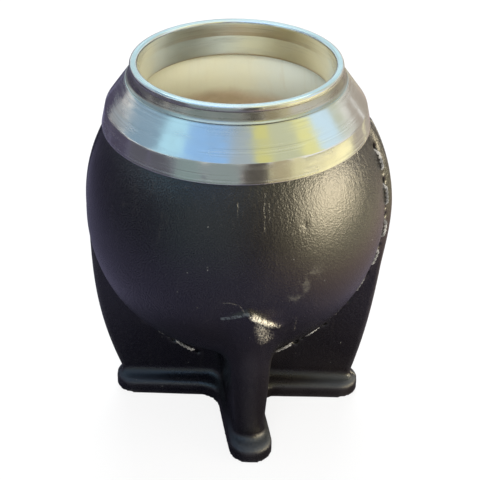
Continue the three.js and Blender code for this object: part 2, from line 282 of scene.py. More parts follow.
class Finish:
    """A material that is being made: its shader's even values are set here, and what varies is plugged in."""

    def __init__(self, name, **even):
        self.material = bpy.data.materials.new(name)
        self.material.use_nodes = True
        nodes = self.material.node_tree.nodes
        self.shader = nodes["Principled BSDF"]
        self.place = Wire(nodes.new("ShaderNodeTexCoord").outputs["Object"])
        for socket, value in even.items():
            self.shader.inputs[socket.replace("_", " ")].default_value = value

    def vary(self, socket, wire):
        self.material.node_tree.links.new(wire.socket, self.shader.inputs[socket])

    def surface(self, wire):
        """Puts another shader in the place of the usual one."""
        tree = self.material.node_tree
        tree.links.new(wire.socket, tree.nodes["Material Output"].inputs["Surface"])

    def done(self, colour, roughness, height, depth):
        """The material with its colour, its roughness and a relief of some depth plugged in."""
        self.vary("Base Color", colour)
        self.vary("Roughness", roughness)
        self.vary("Normal", height.node("ShaderNodeBump", inputs={"Distance": depth, "Height": height}))
        return self.material


# Materials


def stroke(place, start, end, width):
    """A thin mark on the cup's front, between two places across the cup and above its widest level."""
    way = Vector((end[0] - start[0], 0, end[1] - start[1]))
    shift = (-start[0], 0, -start[1] - BELLY_LEVEL)
    flat = place.vector("MULTIPLY_ADD", place, (1, 0, 1), shift)
    along = flat.vector("DOT_PRODUCT", flat, way / way.length_squared, output="Value")
    share = along.node("ShaderNodeClamp", inputs={0: along})
    gap = flat.vector("DISTANCE", flat, flat.vector("MULTIPLY", way, share), output="Value")
    front = 1 - place.part(1).smooth(-FRONT_DEPTH, -FRONT_DEPTH / 2)
    return (1 - gap.smooth(0.3 * width, width)) * front


def scratches(place):
    """The longer scratches and hairlines on the cup's front."""
    marks = (
        ((-3.2, -5.1), (0.2, -4.9), 0.22),
        ((0.2, -4.9), (2.6, -6.1), 0.26),
        ((2.6, -6.1), (3.9, -8.4), 0.28),
        ((8.4, 25.0), (8.6, 15.9), 0.22),
        ((9.6, 23.0), (9.7, 18.0), 0.16),
        ((1.6, 23.0), (1.7, 19.6), 0.20),
        ((17.8, -13.0), (17.3, -19.5), 0.30),
    )
    total = 0.0
    for start, end, width in marks:
        a, b = [tuple(value * MM for value in spot) for spot in (start, end)]
        total = stroke(place, a, b, width * MM) + total
    return total.smooth(0, 1)


def black_leather():
    """Waxed black leather: pebbled, streaked down from the collar, rubbed on its folds and edges, with
    painted light: a cooler, darker left side and a warmer right, a painted bluish highlight on a crease and a
    painted sky sheen on the feet's tops.
    """
    made = Finish("black_leather", Specular_IOR_Level=0.9)
    place = made.place
    across = place.part(0)
    height = place.part(2)
    cloud = place.noise(38, 3)
    pebble = place.cells(2200, "SMOOTH_F1")
    fine = place.noise(4200, 2)
    streak = place.stretch(900, 900, 30).noise(1, 4, 0.6)
    fibre = place.stretch(2600, 900, 1500).noise(1, 3, 0.7)
    # Partly random tone, partly painted light: the left is painted a cooler, darker black, as if in shade,
    # and the right a warmer, paler brown-black, as if lit from the right
    tone_and_side_light = (across * 9 + cloud).smooth(0.2, 1.0)
    drawn = height.smooth(BELLY_LEVEL + 6 * MM, BELLY_LEVEL + 26 * MM)
    creased = across.smooth(30 * MM, 36 * MM) * height.smooth(BELLY_LEVEL + 6 * MM, BELLY_LEVEL + 14 * MM)
    pale = (place.attribute("rubbed") * (3.2 * fibre - 0.8)).smooth(0.2, 1.1)
    wobble = place.noise(700, 2)
    wavy = place.combined(across + (wobble - 0.5) * 0.9 * MM, place.part(1), height)
    scratch = scratches(wavy) * place.noise(1500, 2).smooth(0.35, 0.65)
    smear = stroke(wavy, SMEAR_LOW, SMEAR_HIGH, 3 * MM) * place.noise(420, 3).smooth(0.44, 0.66)
    # A painted highlight: a bright bluish line along the fold's left ridge, where light would catch it
    crease_highlight = stroke(wavy, FOLD_LEFT, FOLD_PEAK, 0.7 * MM) * place.noise(1500, 2).smooth(0.3, 0.6)
    # Upward-facing tops low on the feet: real dust, which makes them matt, and a painted bluish sheen that
    # stands in for the sky's reflection
    dust_and_sky_sheen = place.attribute("dusty_and_sky_lit") * (0.35 + cloud)
    edge = (place.attribute("edge") * (0.4 + cloud)).smooth(0.3, 1.1)
    dot = 1 - place.cells(360).smooth(0.03, 0.075)
    chosen = place.cells(360, "F1", "Color").part(0).smooth(0.78, 0.8)
    # painted side light: cool dark black on the left, warmer brown-black on the right
    colour = tone_and_side_light.blend(rgb(0.0020, 0.0020, 0.0040), rgb(0.0050, 0.0034, 0.0030))
    colour = (streak.smooth(0.55, 0.85) * (0.25 + 0.5 * drawn)).blend(colour, rgb(0.030, 0.028, 0.023))
    colour = (edge * 0.35).blend(colour, rgb(0.032, 0.031, 0.036))
    # painted bluish sky sheen, mixed with dust, on the feet's tops
    colour = (dust_and_sky_sheen * 0.6).blend(colour, rgb(0.013, 0.021, 0.036))
    colour = (smear * 0.22).blend(colour, rgb(0.15, 0.15, 0.12))
    colour = (dot * chosen * 0.5).blend(colour, rgb(0.42, 0.42, 0.40))
    colour = (scratch * 0.14).blend(colour, rgb(0.36, 0.34, 0.28))
    # painted bluish highlight on the left ridge of the fold
    colour = (crease_highlight * 0.3).blend(colour, rgb(0.13, 0.165, 0.18))
    colour = pale.blend(colour, rgb(0.60, 0.56, 0.46))
    roughness = 0.16 + 0.10 * cloud + 0.14 * fine + 0.4 * pale + 0.5 * dust_and_sky_sheen
    relief = pebble * 0.8 + fine * 0.5 + streak * (0.25 + 1.5 * drawn + 1.6 * creased)
    return made.done(colour, roughness, relief + pale * fibre * 1.5 - scratch * 0.6, 0.085 * MM)


def nickel_silver():
    """Turned nickel silver: fine rings all round, a few smudges and a tarnished neck."""
    made = Finish("nickel_silver", Metallic=1.0)
    place = made.place
    radius = (place.part(0) ** 2.0 + place.part(1) ** 2.0) ** 0.5
    height = place.part(2)
    along = height + 0.45 * radius
    lines = along.rings(2600, 3)
    grooves = along.rings(700, 1)
    broken = place.stretch(1, 1, 6).noise(80, 2).smooth(0.4, 0.62)
    smudge = place.noise(55, 4).smooth(0.5, 0.75)
    neck = 1 - abs(height - (rim_low.z + 1.6 * MM)).smooth(1.2 * MM, 2.2 * MM)
    tarnish = neck * radius.smooth(MOUTH_RADIUS + 0.6 * MM, MOUTH_RADIUS + 1.4 * MM)
    colour = smudge.blend(rgb(0.82, 0.81, 0.765), rgb(0.74, 0.72, 0.66))
    colour = (lines.smooth(0.52, 0.7) * broken * 0.55).blend(colour, rgb(0.96, 0.96, 0.93))
    colour = (lines.smooth(0.48, 0.3) * broken * 0.4).blend(colour, rgb(0.48, 0.47, 0.42))
    colour = (tarnish * 0.65).blend(colour, rgb(0.34, 0.31, 0.24))
    roughness = 0.16 + 0.16 * lines * broken + 0.10 * smudge + 0.06 * tarnish
    return made.done(colour, roughness, lines * (0.3 + broken) * 0.6 + grooves * 0.5, 0.016 * MM)


def dried_gourd():
    """The calabash's dried flesh: pale cream at the mouth, tan and stained lower down, with soft fibres."""
    made = Finish("dried_gourd", Specular_IOR_Level=0.25)
    place = made.place
    cloud = place.noise(42, 4, 0.55)
    fibre = place.stretch(420, 420, 40).noise(1, 4, 0.6)
    pore = place.cells(900)
    low = (BELLY_LEVEL + 26 * MM - place.part(2)) / (8 * MM)
    aside = abs(place.part(0) + 2 * MM) / (20 * MM)
    stain = (low - 0.5 * aside + 1.6 * (cloud - 0.5)).smooth(0.05, 0.9)
    grey = (place.part(0) / (22 * MM) + 2 * (cloud - 0.5)).smooth(-0.5, 0.8)
    colour = grey.blend(rgb(0.85, 0.83, 0.60), rgb(0.76, 0.82, 0.75))
    brew = place.noise(95, 5, 0.6).smooth(0.35, 0.65).blend(rgb(0.70, 0.53, 0.36), rgb(0.50, 0.37, 0.22))
    colour = (stain * 0.8).blend(colour, brew)
    colour = (fibre.smooth(0.5, 0.8) * 0.15).blend(colour, rgb(0.60, 0.50, 0.30))
    return made.done(colour, 0.62 + 0.2 * fibre, fibre * 0.7 + pore * 0.3, 0.12 * MM)


def waxed_thread():
    """Waxed linen thread, greyed by handling."""
    made = Finish("waxed_thread", Specular_IOR_Level=0.3)
    place = made.place
    fuzz = place.noise(5200, 3)
    grime = place.noise(260, 2)
    colour = grime.smooth(0.35, 0.6).blend(rgb(0.54, 0.52, 0.48), rgb(0.20, 0.195, 0.185))
    return made.done(colour, 0.5 + 0.3 * fuzz, fuzz, 0.05 * MM)


def plywood():
    """Raw plywood: thin veneers with their grain."""
    made = Finish("plywood", Specular_IOR_Level=0.3)
    place = made.place
    grain = place.stretch(60, 900, 900).noise(1, 4)
    veneer = place.part(2).rings(1100, 0).smooth(0.45, 0.55)
    colour = veneer.blend(rgb(0.52, 0.36, 0.19), rgb(0.40, 0.25, 0.12))
    colour = (grain * 0.5).blend(colour, rgb(0.62, 0.46, 0.27))
    return made.done(colour, 0.6 + 0.25 * grain, grain, 0.08 * MM)


def set_glue():
    """Set resin: cloudy, with trapped bubbles."""
    made = Finish("set_glue", Specular_IOR_Level=0.4)
    cloud = made.place.noise(180, 3)
    bubble = made.place.cells(900).smooth(0.1, 0.35)
    colour = cloud.blend(rgb(0.62, 0.56, 0.43), rgb(0.74, 0.70, 0.60))
    return made.done(colour, 0.4 + 0.3 * cloud, bubble, 0.06 * MM)


def sole_leather():
    """The flat sole: matt leather, rubbed where it stands."""
    made = Finish("sole_leather", Specular_IOR_Level=0.25)
    fibre = made.place.noise(1500, 4, 0.6)
    rubbed = made.place.noise(70, 4).smooth(0.45, 0.7)
    colour = rubbed.blend(rgb(0.016, 0.013, 0.012), rgb(0.055, 0.044, 0.036))
    return made.done(colour, 0.62 + 0.25 * fibre, fibre, 0.1 * MM)


# Pieces


def in_scene(name, data):
    """A new object in the scene."""
    made = bpy.data.objects.new(name, data)
    bpy.context.scene.collection.objects.link(made)
    return made


def placed(name, mesh, slot, *nodes):
    """A finished piece at the origin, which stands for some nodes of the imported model."""
    piece = in_scene(name, mesh)
    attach(piece, "root")
    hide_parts(*nodes)
    return piece


def volume(mesh):
    """Six times the volume that a closed mesh holds, below zero if its faces point inwards."""
    mesh.calc_loop_triangles()
    corners = np.empty(len(mesh.loop_triangles) * 3, int)
    mesh.loop_triangles.foreach_get("vertices", corners)
    points = np.empty(len(mesh.vertices) * 3)
    mesh.vertices.foreach_get("co", points)
    a, b, c = points.reshape(-1, 3)[corners].reshape(-1, 3, 3).transpose(1, 0, 2)
    return np.einsum("ij,ij->", a, np.cross(b, c))


class Maker:
    """A Geometry Nodes tree that is being made, with named inputs for its sizes."""

    def __init__(self, name, **kinds):
        self.tree = bpy.data.node_groups.new(name, "GeometryNodeTree")
        face = self.tree.interface
        face.new_socket("Start", in_out="INPUT", socket_type="NodeSocketGeometry")
        for size, kind in kinds.items():
            face.new_socket(size, in_out="INPUT", socket_type=kind)
        face.new_socket("Made", in_out="OUTPUT", socket_type="NodeSocketGeometry")
        self.source = self.tree.nodes.new("NodeGroupInput")
        self.start = Wire(self.source.outputs["Start"])

    def size(self, name):
        return Wire(self.source.outputs[name])

    def end(self, shape, material):
        """The tree's last steps: every copy made real, shaded smooth, with its material."""
        real = shape.node("GeometryNodeRealizeInstances", inputs={0: shape})
        soft = shape.node("GeometryNodeSetShadeSmooth", inputs={0: real})
        done = shape.node("GeometryNodeSetMaterial", inputs={"Geometry": soft, "Material": material})
        sink = self.tree.nodes.new("NodeGroupOutput")
        self.tree.links.new(done.socket, sink.inputs["Made"])

    def make(self, points, edges, lift=None, **sizes):
        """The plain mesh that the tree makes from a line of points, which may each carry a direction."""
        line = bpy.data.meshes.new("line")
        line.from_pydata(points, edges, [])
        if lift is not None:
            line.attributes.new("lift", "FLOAT_VECTOR", "POINT").data.foreach_set("vector", lift.ravel())
        worker = in_scene("worker", line)
        modifier = worker.modifiers.new("make", "NODES")
        modifier.node_group = self.tree
        for item in self.tree.interface.items_tree:
            if item.name in sizes:
                modifier[item.identifier] = sizes[item.name]
        shown = worker.evaluated_get(bpy.context.evaluated_depsgraph_get())
        mesh = bpy.data.meshes.new_from_object(shown)
        bpy.data.objects.remove(worker)
        if volume(mesh) < 0:
            mesh.flip_normals()
        mesh.set_sharp_from_angle(angle=math.radians(40))
        return mesh


# Turned pieces: the ferrule's rings and the gourd


def turning(material):
    """A tree that turns a closed outline of radius and height round the Z axis."""
    maker = Maker("turning", Around="NodeSocketInt", Unevenness="NodeSocketFloat")
    start = maker.start
    around = maker.size("Around")
    count = start.node("GeometryNodeAttributeDomainSize", {"component": "MESH"}, {0: start})
    size = {"Vertices X": around + 1, "Vertices Y": count + 1}
    sheet = start.node("GeometryNodeMeshGrid", inputs=size)
    index = start.node("GeometryNodeInputIndex")
    column = index.math("FLOOR", index / (count + 1))
    row = (index - column * (count + 1)) % count
    angle = column * TURN / around
    spot = start.node("GeometryNodeInputPosition")
    sample = {"data_type": "FLOAT_VECTOR", "domain": "POINT"}
    outline = start.node("GeometryNodeSampleIndex", sample, {"Geometry": start, "Value": spot, "Index": row})
    cosine = angle.math("COSINE", angle)
    sine = angle.math("SINE", angle)
    height = outline.part(2)
    spread = 40 * MM
    wobble = start.combined(cosine * spread, sine * spread, height).noise(60, 2) - 0.5
    wobble = wobble * 2 * maker.size("Unevenness") * outline.part(0).smooth(0, 10 * MM)
    radius = outline.part(0) + wobble
    turned = start.combined(radius * cosine, radius * sine, height)
    bent = start.node("GeometryNodeSetPosition", inputs={"Geometry": sheet, "Position": turned})
    same = 0.001 * MM
    closed = start.node("GeometryNodeMergeByDistance", inputs={"Geometry": bent, "Distance": same})
    maker.end(closed, material)
    return maker


def filleted(corners, steps=5):
    """An outline with its corners rounded. Each corner is its radius, its height and its rounding."""
    outline = []
    count = len(corners)
    for i, (radius, height, rounding) in enumerate(corners):
        corner = np.array((radius, height))
        back = np.array(corners[i - 1][:2]) - corner
        ahead = np.array(corners[(i + 1) % count][:2]) - corner
        back /= np.linalg.norm(back)
        ahead /= np.linalg.norm(ahead)
        start = corner + back * rounding
        end = corner + ahead * rounding
        outline += bezier([start, corner, end], steps) if rounding else [corner]
    return outline


def divided(outline):
    """A closed outline with more points on its long stretches."""
    points = []
    for here, ahead in zip(outline, outline[1:] + outline[:1]):
        steps = max(1, round(np.linalg.norm(ahead - here) / OUTLINE_STEP))
        points += [here + (ahead - here) * step / steps for step in range(steps)]
    return points


def turn(name, outline, maker, slot, node, unevenness=0.0):
    """A turned piece from its closed outline."""
    points = [(radius, 0.0, height) for radius, height in divided(outline)]
    edges = [(i, (i + 1) % len(points)) for i in range(len(points))]
    mesh = maker.make(points, edges, Around=AROUND, Unevenness=unevenness)
    return placed(name, mesh, slot, node)


def bezier(points, steps=10):
    """Points of a curve that is drawn from the first point to the last by the ones between them."""
    curve = []
    for share in np.linspace(0, 1, steps):
        drawn = np.array(points, float)
        while len(drawn) > 1:
            drawn = drawn[:-1] * (1 - share) + drawn[1:] * share
        curve.append(drawn[0])
    return curve


def rim_outline():
    """The rim: a rounded bead over a neck that draws in below it and flares at its foot."""
    lip = MOUTH_RADIUS + LIP_WIDTH
    crown = rim_high.z - LIP_SINK
    under = crown - BEAD_DEPTH
    return filleted([
        (MOUTH_RADIUS, rim_low.z, 0),
        (lip + NECK_STEP, rim_low.z, METAL_EDGE),
        (lip + NECK_STEP - NECK_FLARE, rim_low.z + NECK_FLARE, NECK_FLARE / 2),
        (lip - NECK_COVE, under - NECK_COVE, METAL_EDGE / 2),
        (lip, under, METAL_EDGE / 2),
        (lip, crown, BEAD_ROUND),
        (MOUTH_RADIUS, crown, BEAD_ROUND),
    ], 9)


def skirt_outline():
    """The skirt: a spun cone with a band at its foot."""
    band = skirt_high.x
    neck = rim_high.x
    shoulder = neck + CONE_RUN
    level = skirt_high.z - CONE_HEIGHT
    return filleted([
        (band - SKIRT_WALL, skirt_low.z, METAL_EDGE),
        (band, skirt_low.z, METAL_EDGE),
        (shoulder, level, 1.4 * METAL_EDGE),
        (neck, skirt_high.z, METAL_EDGE),
        (neck - SKIRT_WALL, skirt_high.z, 0),
        (shoulder - SKIRT_WALL, level, 0),
    ])


def sleeve_outline():
    """The sleeve: a thin tube that lines the gourd's mouth."""
    foot = MOUTH_RADIUS - SLEEVE_TAPER
    return filleted([
        (foot, sleeve_low.z, METAL_EDGE),
        (foot + SLEEVE_WALL, sleeve_low.z, METAL_EDGE),
        (MOUTH_RADIUS + SLEEVE_WALL, sleeve_high.z, 0),
        (MOUTH_RADIUS, sleeve_high.z, 0),
    ])


def gourd_outline():
    """The gourd: a hollow shell, open at the top, with a straight cut neck."""
    mouth = MOUTH_RADIUS + SLEEVE_WALL + FIT
    neck = mouth + NECK_WALL

    def wall(inset, end):
        radius = BELLY_RADIUS - inset
        rise = CROWN_RISE - inset
        angles = np.linspace(-math.pi / 2, end, 72)
        across = np.maximum(radius * np.cos(angles), 0)
        up = np.where(angles > 0, rise, radius) * np.sin(angles)
        return [np.array(point) for point in zip(across, BELLY_LEVEL + up)]

    inset = LEATHER + FIT
    outside = wall(inset, math.acos(neck / (BELLY_RADIUS - inset)))
    bowl = wall(inset + GOURD_WALL, 0)
    width = bowl[-1][0]
    rise = sleeve_low.z - BELLY_LEVEL
    throat = [(width, BELLY_LEVEL), (width, BELLY_LEVEL + 0.45 * rise), (mouth, BELLY_LEVEL + 0.55 * rise),
              (mouth, sleeve_low.z)]
    lip = [np.array((neck, gourd_high.z)), np.array((mouth, gourd_high.z))]
    inside = bowl + bezier(throat, 30)[1:]
    return outside + lip + inside[::-1]


# Leather cover


def soft_min(a, b, run):
    """The lesser of two fields, run into each other where they are close."""
    near = np.maximum(run - np.abs(a - b), 0) / run
    return np.minimum(a, b) - near**2 * run / 4


def soft_max(a, b, run):
    return -soft_min(-a, -b, run)


def rounded(across, upright, radius):
    """Distance to a block from its distances across and upright, with its edge rounded."""
    a = across + radius
    b = upright + radius
    return np.hypot(np.maximum(a, 0), np.maximum(b, 0)) + np.minimum(np.maximum(a, b), 0) - radius


def s_curve(share):
    share = np.clip(share, 0, 1)
    return share * share * (3 - 2 * share)


def belly_radius(h):
    """Radius of the belly at a height above its widest level."""
    rise = np.where(h > 0, CROWN_RISE, BELLY_RADIUS)
    return BELLY_RADIUS * np.sqrt(np.clip(1 - (h / rise) ** 2, 0, 1))


def belly_field(x, y, h, inset):
    """Distance to the belly's surface, drawn in by inset."""
    radius = BELLY_RADIUS - inset
    rise = np.where(h > 0, CROWN_RISE - inset, radius)
    flat = np.hypot(x, y) / radius
    tall = h / rise
    reach = np.hypot(flat, tall)
    slope = np.hypot(flat / radius, tall / rise)
    return reach * (reach - 1) / np.maximum(slope, 1)


def bars(x, y):
    """Places along and across the bar of the legs."""
    return x * LEG_WAY[0] + y * LEG_WAY[1], x * LEG_WAY[1] - y * LEG_WAY[0]


def leg_field(x, y, h, inset):
    """Distance to the legs. Their outer edges slope straight up to the belly and sink into it there."""
    along, across = bars(x, y)
    share = (h - LEG_WAIST) / (-LEG_ROOT - LEG_WAIST)
    risen = np.clip(share, 0, 1)
    half = (LEG_THICKNESS + (LEG_ROOT_THICKNESS - LEG_THICKNESS) * risen) / 2 - inset
    across = across - LEG_LEAN * risen * along / BELLY_RADIUS
    waist = LEG_REACH - LEG_SET_BACK
    slope = waist + (belly_radius(np.array(-LEG_ROOT)) - waist) * share
    sunk = LEG_RUN * s_curve((h + LEG_ROOT) / LEG_ROOT_RUN + 0.5)
    edge = np.where(h > -LEG_ROOT, belly_radius(h), slope) - sunk - inset
    return np.hypot(np.maximum(np.abs(along) - (edge - half), 0), across) - half


def foot_plan(x, y):
    """Distance in plan to the cross of the feet."""
    half = FOOT_WIDTH / 2
    along, across = bars(x, y)
    wing_bar = np.hypot(x - np.clip(x, half - LEFT_REACH, RIGHT_REACH - half), y) - half
    leg_bar = np.hypot(along - np.clip(along, half - LEG_REACH, LEG_REACH - half), across) - half
    return soft_min(wing_bar, leg_bar, CROSS_RUN)


def foot_field(x, y, z):
    """Distance to the feet's leather, which slopes outwards and is rounded over its edge."""
    plan = foot_plan(x, y)
    top = z - FOOT_HEIGHT + FOOT_SLOPE * (plan + FOOT_WIDTH / 4)
    return np.maximum(rounded(plan, top, FOOT_ROUND), cover_low.z - z)


def wing_edge(h, side):
    """Distance from the axis to the edge of the wing and its flange: side 0 right, 1 left."""
    flange = BELLY_RADIUS + FLANGE[side]
    rise = CROWN_RISE - FLANGE_FADE
    drawn = bezier([
        (WING_WAIST[side], LEG_WAIST),
        (flange - WING_DRAW[side], LEG_WAIST + WING_DROP),
        (flange, -WING_BULGE[side]),
        (flange, 0),
    ], 80)
    edge, up = np.array(drawn).T
    above = flange * np.sqrt(np.clip(1 - (h / rise) ** 2, 0, 1))
    return np.where(h > 0, above, np.interp(h, up, edge))


def wing_field(x, y, h):
    """Distance to the sheet that makes the wings and the seam flange."""
    edge = np.where(x > 0, wing_edge(h, 0), wing_edge(h, 1))
    top = h - (skirt_low.z - FIT - BELLY_LEVEL)
    sheet = rounded(np.abs(x) - edge, np.abs(y) - SHEET_HALF, SHEET_ROUND)
    return soft_max(sheet, top, EDGE_RUN)


def seam_line(side):
    """Points of a seam, across the cup and upwards: side 1 right, -1 left."""
    top = math.asin((skirt_low.z - SEAM_START - BELLY_LEVEL) / CROWN_RISE) if side > 0 else LEFT_SEAM_TOP
    angle = np.linspace(top, SEAM_BOTTOM, SEAM_POINTS)
    radius = BELLY_RADIUS + np.where(angle < 0, SEAM_DRIFT * (angle / (math.pi / 2)) ** 2, 0)
    rise = np.where(angle > 0, CROWN_RISE, radius)
    return np.stack([side * radius * np.cos(angle), BELLY_LEVEL + rise * np.sin(angle)], 1)


def seam_run(line):
    """How far each point of a seam is from its start."""
    return np.concatenate([[0], np.cumsum(np.linalg.norm(np.diff(line, axis=0), axis=1))])


def seam_count(line):
    """How many stitches show on each face of a seam."""
    return round(seam_run(line)[-1] / STITCH_PITCH)


def seam_surface(line):
    """Where the cover's front is along a line of places across and up, and which way it faces there."""
    x, z = line.T
    inner = np.zeros(len(line))
    outer = np.full(len(line), SEAM_REACH)
    for _ in range(30):
        middle = (inner + outer) / 2
        inside = leather_form(x, -middle, z) < 0
        inner = np.where(inside, middle, inner)
        outer = np.where(inside, outer, middle)
    points = np.stack([x, -inner, z], 1)
    facing = slope_of(leather_form, points, 0.2 * MM)[1]
    return points, facing / np.linalg.norm(facing, axis=1)[:, None]


def seam_holes(side):
    """The two holes of each stitch on a seam's front: its place, the way it faces and its radius."""
    line = seam_line(side)
    run = seam_run(line)
    pitch = run[-1] / seam_count(line)
    middles = (np.arange(seam_count(line)) + 0.5) * pitch
    holes = []
    for way, radius in ((-1, TOP_HOLE), (1, LOW_HOLE)):
        stops = middles + way * (FRONT_STITCH / 2 + HOLE_SHIFT)
        places = np.stack([np.interp(stops, run, part) for part in line.T], 1)
        holes += [(*spot, radius) for spot in zip(*seam_surface(places))]
    return holes


def hole_field(x, y, z):
    """Distance to the stitch holes, which go straight in from the surface on both sides of the seam."""
    gap = np.full(x.shape, 1.0)
    near = np.abs(y) < HOLE_ZONE
    spots = np.stack([x[near], -np.abs(y[near]), z[near]], 1)
    for place, facing, radius in HOLES:
        beside = spots - place
        depth = np.clip(beside @ facing, -HOLE_DEPTH, HOLE_DEPTH)
        gap[near] = np.minimum(gap[near], np.linalg.norm(beside - depth[:, None] * facing, axis=1) - radius)
    return gap


def on_belly(across, up):
    """The belly's front surface at a place across the cup and above its widest level."""
    return np.array((across, -math.sqrt(float(belly_radius(np.array(up))) ** 2 - across**2), up))


def fold_distance(x, h, start, end):
    """Distance, as seen from the front, to a line between two places, and how far along it a point is."""
    across = end[0] - start[0]
    up = end[1] - start[1]
    share = np.clip(((x - start[0]) * across + (h - start[1]) * up) / (across**2 + up**2), 0, 1)
    return np.hypot(x - start[0] - share * across, h - start[1] - share * up), share


def fold_height(x, y, h):
    """The ridges that the leather makes where it is drawn over the top of the front leg."""
    right, along = fold_distance(x, h, FOLD_PEAK, FOLD_RIGHT)
    left, beside = fold_distance(x, h, FOLD_PEAK, FOLD_LEFT)
    main = np.exp(-((right / FOLD_WIDTH) ** 2)) * (1 - 0.5 * along)
    less = np.exp(-((left / (0.7 * FOLD_WIDTH)) ** 2)) * (1 - beside)
    return FOLD_HEIGHT * np.maximum(main, 0.8 * less) * (y < -FRONT_DEPTH)


def dent_depth(x, y, h):
    """A small dent in the front of the belly."""
    place = on_belly(*DENT)
    gap = (x - place[0]) ** 2 + (y - place[1]) ** 2 + (h - place[2]) ** 2
    return DENT_DEPTH * np.exp(-gap / DENT_RADIUS**2)


def hand_work(x, y, h):
    """Slight hollows and swellings of leather that was moulded by hand."""
    u, v, w = [place / (9 * MM) for place in (x, y, h)]
    hollow = np.sin(u + 1.3 * np.sin(0.7 * w)) * np.sin(0.8 * v + 0.5)
    swelling = 0.6 * np.sin(1.1 * w + 0.9 * u - 0.4 * v)
    return UNEVENNESS * (hollow + swelling) * (1 - s_curve((h - 14 * MM) / (10 * MM)))


def leather_form(x, y, z):
    """Distance to the cover's outer surface, before its seams are sewn."""
    h = z - BELLY_LEVEL
    run = np.where(x > 0, *CREASE_RUN)
    form = soft_min(belly_field(x, y, h, 0), wing_field(x, y, h), run)
    form = soft_min(form, leg_field(x, y, h, 0), LEG_RUN)
    form = soft_min(form, foot_field(x, y, z), FOOT_RUN)
    return form + hand_work(x, y, h) - fold_height(x, y, h) + dent_depth(x, y, h)


def leather_inside(x, y, z):
    h = z - BELLY_LEVEL
    hollow = np.minimum(belly_field(x, y, h, LEATHER), leg_field(x, y, h, LEATHER))
    pocket = np.maximum(foot_plan(x, y) + LEATHER, z - (FOOT_HEIGHT - LEATHER))
    return np.minimum(hollow, pocket)


def leather_half(side):
    """The field of one half of the cover: side -1 in front of the seam, 1 behind it."""

    def field(x, y, z):
        outside = soft_max(leather_form(x, y, z), -hole_field(x, y, z), HOLE_RUN)
        shell = np.maximum(outside, -leather_inside(x, y, z))
        shell = soft_max(shell, SEAM_GAP / 2 - side * y, EDGE_RUN)
        shell = soft_max(shell, z - cover_high.z, EDGE_RUN)
        return np.maximum(shell, cover_low.z - z)

    return field


def slope_of(field, points, step):
    """The field at points, its gradient there, and how sharply its surface bends outwards."""
    value = field(*points.T)
    gradient = np.empty_like(points)
    bend = -6 * value
    for axis in range(3):
        shift = np.zeros(3)
        shift[axis] = step
        ahead = field(*(points + shift).T)
        behind = field(*(points - shift).T)
        gradient[:, axis] = (ahead - behind) / (2 * step)
        bend += ahead + behind
    return value, gradient, bend / step**2


def skinned(name, field, low, high, voxel):
    """A closed mesh on a field's zero surface inside a box. Gives the mesh and its points."""
    counts = np.ceil((high - low) / voxel).astype(int) + 1
    axes = [low[i] + voxel * np.arange(counts[i]) for i in range(3)]
    values = field(*np.meshgrid(*axes, indexing="ij")) / voxel
    grid = openvdb.FloatGrid(4.0)
    grid.copyFromArray(np.clip(values, -4, 4).astype(np.float32))
    points, quads = grid.convertToQuads()
    points = low + np.asarray(points, float) * voxel
    for _ in range(4):
        value, gradient, _ = slope_of(field, points, 0.1 * voxel)
        steep = np.maximum((gradient**2).sum(1), 0.2)
        move = gradient * (value / steep)[:, None]
        points -= np.clip(move, -voxel / 2, voxel / 2)
    mesh = bpy.data.meshes.new(name)
    mesh.from_pydata(points.tolist(), [], np.asarray(quads).tolist())
    mesh.shade_smooth()
    if volume(mesh) < 0:
        mesh.flip_normals()
    return mesh, points


def carry(mesh, name, values):
    """Gives a mesh a number at each of its points."""
    mesh.attributes.new(name, "FLOAT", "POINT").data.foreach_set("value", values.astype(np.float32))


def rubbed(points):
    """Where the leather is rubbed pale: on the fold over the front leg, and in a patch below it."""
    x, y, z = points.T
    h = z - BELLY_LEVEL
    ridge, along = fold_distance(x, h, FOLD_PEAK, FOLD_RIGHT)
    patch, _ = fold_distance(x, h, PATCH_HIGH, PATCH_LOW)
    worn = s_curve(along / 0.25) * (1 - 0.75 * s_curve((along - 0.6) / 0.4))
    main = np.exp(-((ridge / (1.2 * MM)) ** 2)) * (0.25 + 0.85 * worn)
    below = np.exp(-((patch / (2.8 * MM)) ** 2)) * 0.55
    return np.maximum(main, below) * (y < -FRONT_DEPTH)


HOLES = seam_holes(-1) + seam_holes(1)


def leather_cover(name, side, material, node):
    """One moulded half of the cover: belly, wings, leg and feet in one skin."""
    low = np.array(cover_low) - 2 * LEATHER
    high = np.array(cover_high) + 2 * LEATHER
    low[0] = cad_low.x - 2 * LEATHER
    high[0] = cad_high.x + 2 * LEATHER
    low[1], high[1] = (cad_low.y - LEATHER, LEATHER) if side < 0 else (-LEATHER, cad_high.y + LEATHER)
    field = leather_half(side)
    mesh, points = skinned(name, field, low, high, LEATHER_VOXEL)
    _, gradient, bend = slope_of(field, points, 1.2 * MM)
    upward = s_curve((gradient[:, 2] - 0.2) / 0.5)
    carry(mesh, "edge", np.clip(bend * MM, 0, 2))
    low_down = 1 - s_curve((points[:, 2] - FOOT_HEIGHT) / (3 * MM))
    far_out = s_curve((np.hypot(points[:, 0], points[:, 1]) - 18 * MM) / (16 * MM))
    # The feet's upward-facing tops: for real dust, and for a painted bluish sky sheen
    carry(mesh, "dusty_and_sky_lit", upward * low_down * far_out)
    carry(mesh, "rubbed", rubbed(points))
    mesh.materials.append(material)
    return placed(name, mesh, "black_leather", node)


# Stitches


